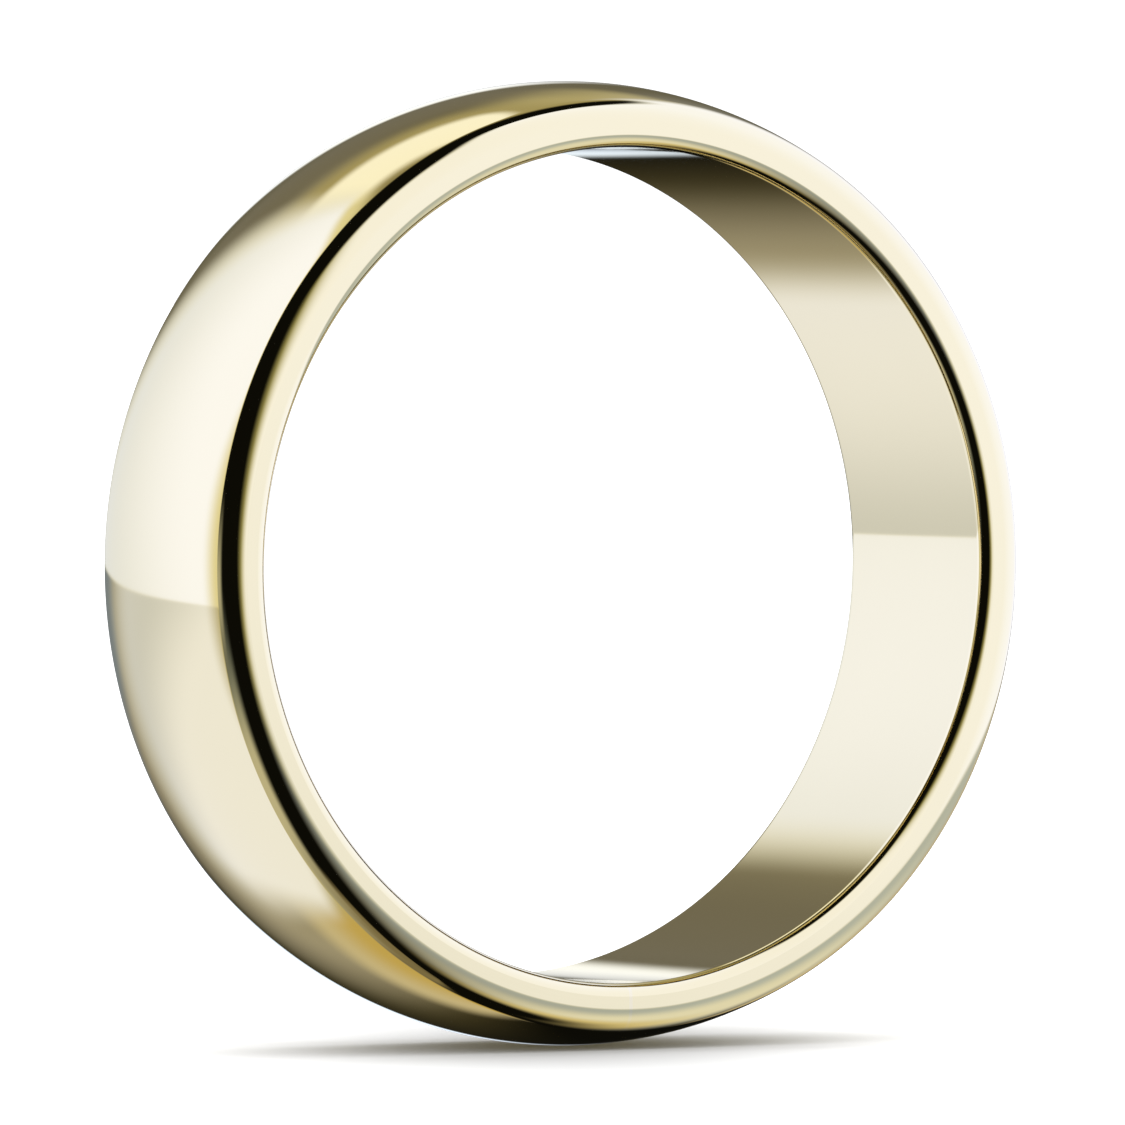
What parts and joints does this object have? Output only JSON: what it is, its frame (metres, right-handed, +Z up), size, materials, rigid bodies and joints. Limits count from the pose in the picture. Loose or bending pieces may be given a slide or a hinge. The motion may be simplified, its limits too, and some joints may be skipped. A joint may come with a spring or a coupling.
{
  "type": "wedding band",
  "caption": "Plain wedding band with a domed outside, a straight bore, narrow flat sides and softly rounded edges, in mirror-polished yellow gold.",
  "frame": {"origin": "centre of the bore, midway between the two sides", "axes": "+Y along the finger, through the bore; +Z up, with the band standing on its rim; the solder joint is at the bottom, towards -Z"},
  "size_m": [0.0224, 0.006, 0.0224],
  "materials": {
    "yellow_gold": "14 carat yellow gold, mirror polished",
    "gold_solder": "yellow gold solder, filed flush and mirror polished"
  },
  "bodies": {
    "root": {"band_shank": "yellow_gold", "solder_joint": "gold_solder"}
  },
  "joints": []
}
